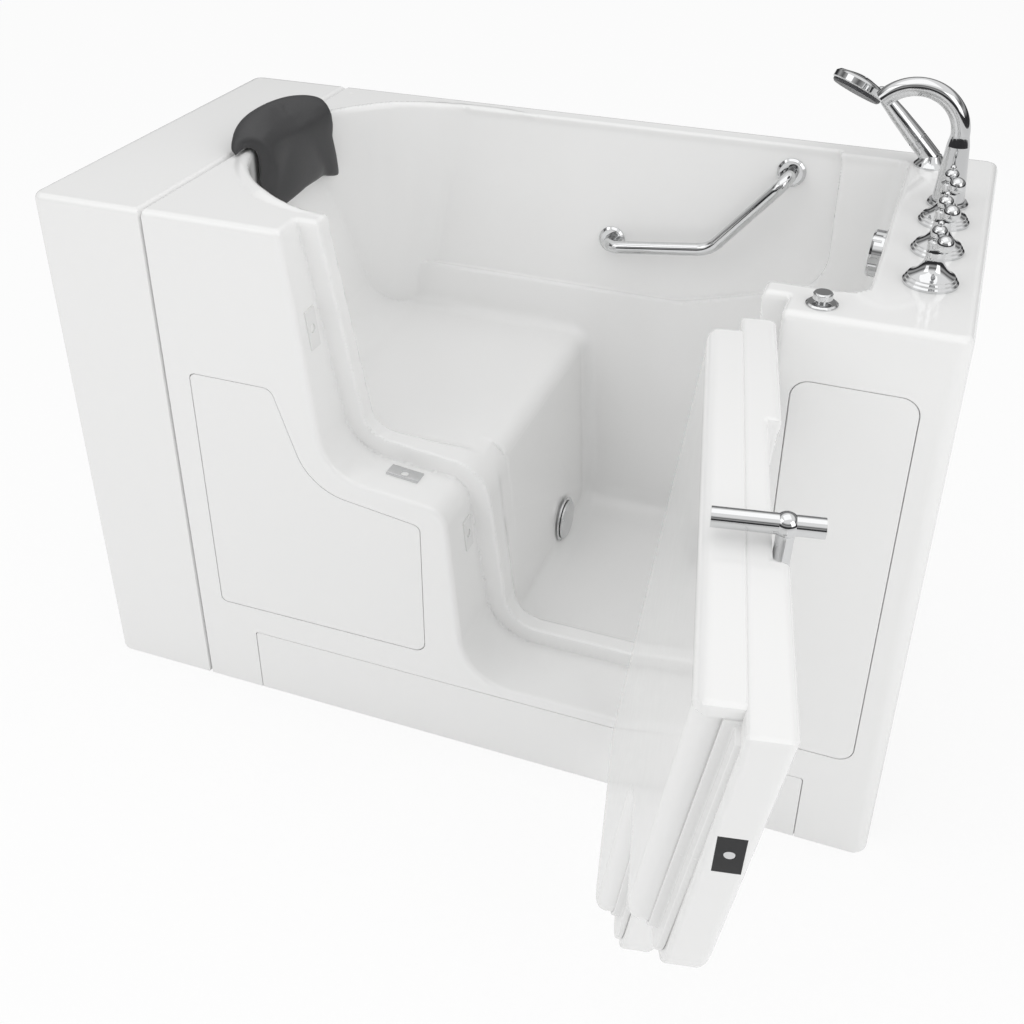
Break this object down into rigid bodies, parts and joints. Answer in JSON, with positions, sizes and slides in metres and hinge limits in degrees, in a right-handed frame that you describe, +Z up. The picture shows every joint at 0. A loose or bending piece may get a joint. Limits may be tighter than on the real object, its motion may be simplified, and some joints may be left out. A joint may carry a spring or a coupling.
{
  "type": "walk-in bathtub",
  "caption": "Deep white walk-in bathtub with an outward-opening door, seat, head cushion, grab bar, deck taps, spout, hand shower and levelling frame.",
  "frame": {"origin": "centre of the footprint on the floor", "axes": "+X towards the tap deck at the foot end, +Y towards the wall, +Z up"},
  "size_m": [1.524, 1.5358, 1.203],
  "materials": {
    "gelcoat": "gloss gelcoat over glass fibre",
    "panel": "gloss",
    "chrome": "polished",
    "steel": "brushed",
    "seal": "satin",
    "dark": "matt",
    "foot_rubber": "matt",
    "cushion": "satin foam skin",
    "waste": "satin"
  },
  "bodies": {
    "tub": {"tub_shell": "gelcoat", "extension_panel": "gelcoat", "access_panel_left": "panel", "access_panel_right": "panel", "kick_panel": "panel", "support_frame": "steel", "foot_front_left": "foot_rubber", "foot_front_right": "foot_rubber", "foot_back_left": "foot_rubber", "foot_back_right": "foot_rubber", "foot_middle": "foot_rubber", "foot_nut_middle": "steel", "foot_nut_front_left": "steel", "foot_nut_front_right": "steel", "foot_nut_back_left": "steel", "foot_nut_back_right": "steel", "strike_side": "chrome", "strike_seat": "chrome", "strike_leg": "chrome", "hinge_jamb_upper": "chrome", "hinge_jamb_lower": "chrome", "hinge_pin_upper": "steel", "hinge_pin_lower": "steel", "grab_bar": "chrome", "grab_flange_low": "chrome", "grab_flange_high": "chrome", "drain_body": "chrome", "waste_pipe": "waste", "overflow_body": "chrome", "valve_front": "chrome", "valve_middle": "chrome", "valve_back": "chrome", "spout_base": "chrome", "shower_holder": "chrome", "air_switch_base": "chrome"},
    "door": {"door_outer_shell": "gelcoat", "door_inner_shell": "gelcoat", "door_seal": "seal", "latch_plate": "chrome", "hinge_door_upper": "chrome", "hinge_door_lower": "chrome"},
    "door_handle": {"door_handle": "chrome"},
    "bolt_side": {"latch_bolt_side": "chrome"},
    "bolt_seat": {"latch_bolt_seat": "chrome"},
    "bolt_leg": {"latch_bolt_leg": "chrome"},
    "cushion": {"pillow": "cushion"},
    "drain_stopper": {"drain_plug": "chrome"},
    "overflow_control": {"overflow_knob": "chrome"},
    "cross_front": {"handle_front": "chrome"},
    "cross_middle": {"handle_middle": "chrome"},
    "cross_back": {"handle_back": "chrome"},
    "spout_arm": {"spout": "chrome"},
    "hand_shower": {"shower_hand": "chrome", "shower_face": "dark"},
    "air_button": {"air_switch_button": "chrome"}
  },
  "joints": [
    {"name": "door_hinge", "type": "hinge", "parent": "tub", "child": "door", "pos_m": [0.51, -0.382, 1], "axis": [0.0262, 0, 0.9997], "range_deg": [-102.2, 8]},
    {"name": "door_handle_turn", "type": "hinge", "parent": "door", "child": "door_handle", "pos_m": [0.60176, -0.8795, 0.98135], "axis": [0.0317, -0.0256, 0.9992], "range_deg": [0, 90]},
    {"name": "side_bolt_slide", "type": "slide", "parent": "door", "child": "bolt_side", "axis": [0.2105, -0.9771, -0.0317], "range_m": [0, 0.013]},
    {"name": "seat_bolt_slide", "type": "slide", "parent": "door", "child": "bolt_seat", "axis": [-0.0317, 0.0256, -0.9992], "range_m": [0, 0.013]},
    {"name": "leg_bolt_slide", "type": "slide", "parent": "door", "child": "bolt_leg", "axis": [0.2105, -0.9771, -0.0317], "range_m": [0, 0.0275]},
    {"name": "cushion_lift", "type": "slide", "parent": "tub", "child": "cushion", "axis": [0, 0, 1], "range_m": [0, 0.25]},
    {"name": "overflow_turn", "type": "hinge", "parent": "tub", "child": "overflow_control", "pos_m": [0.6094, 0.065, 0.92], "axis": [-0.9976, 0, 0.0698], "range_deg": [0, 90]},
    {"name": "drain_lift", "type": "slide", "parent": "tub", "child": "drain_stopper", "axis": [1, 0, 0], "range_m": [0, 0.01]},
    {"name": "front_tap_turn", "type": "hinge", "parent": "tub", "child": "cross_front", "pos_m": [0.69, -0.205, 1.077], "axis": [0, 0, 1], "range_deg": [0, 180]},
    {"name": "middle_tap_turn", "type": "hinge", "parent": "tub", "child": "cross_middle", "pos_m": [0.69, -0.083, 1.077], "axis": [0, 0, 1], "range_deg": [0, 180]},
    {"name": "back_tap_turn", "type": "hinge", "parent": "tub", "child": "cross_back", "pos_m": [0.69, 0.039, 1.077], "axis": [0, 0, 1], "range_deg": [-90, 90]},
    {"name": "spout_swivel", "type": "hinge", "parent": "tub", "child": "spout_arm", "pos_m": [0.69, 0.123, 1], "axis": [0, 0, 1], "range_deg": [-30, 30]},
    {"name": "shower_lift", "type": "slide", "parent": "tub", "child": "hand_shower", "axis": [-0.6947, 0, 0.7193], "range_m": [0, 0.2]},
    {"name": "air_button_press", "type": "slide", "parent": "tub", "child": "air_button", "axis": [0, 0, -1], "range_m": [0, 0.004], "stiffness_N_per_m": 250, "springref_m": -0.002}
  ],
  "couplings": [
    {"joint": "side_bolt_slide", "follows": "door_handle_turn", "m_per_rad": 0.0082761},
    {"joint": "seat_bolt_slide", "follows": "door_handle_turn", "m_per_rad": 0.0082761},
    {"joint": "leg_bolt_slide", "follows": "door_handle_turn", "m_per_rad": 0.017507},
    {"joint": "drain_lift", "follows": "overflow_turn", "m_per_rad": 0.0063662}
  ]
}
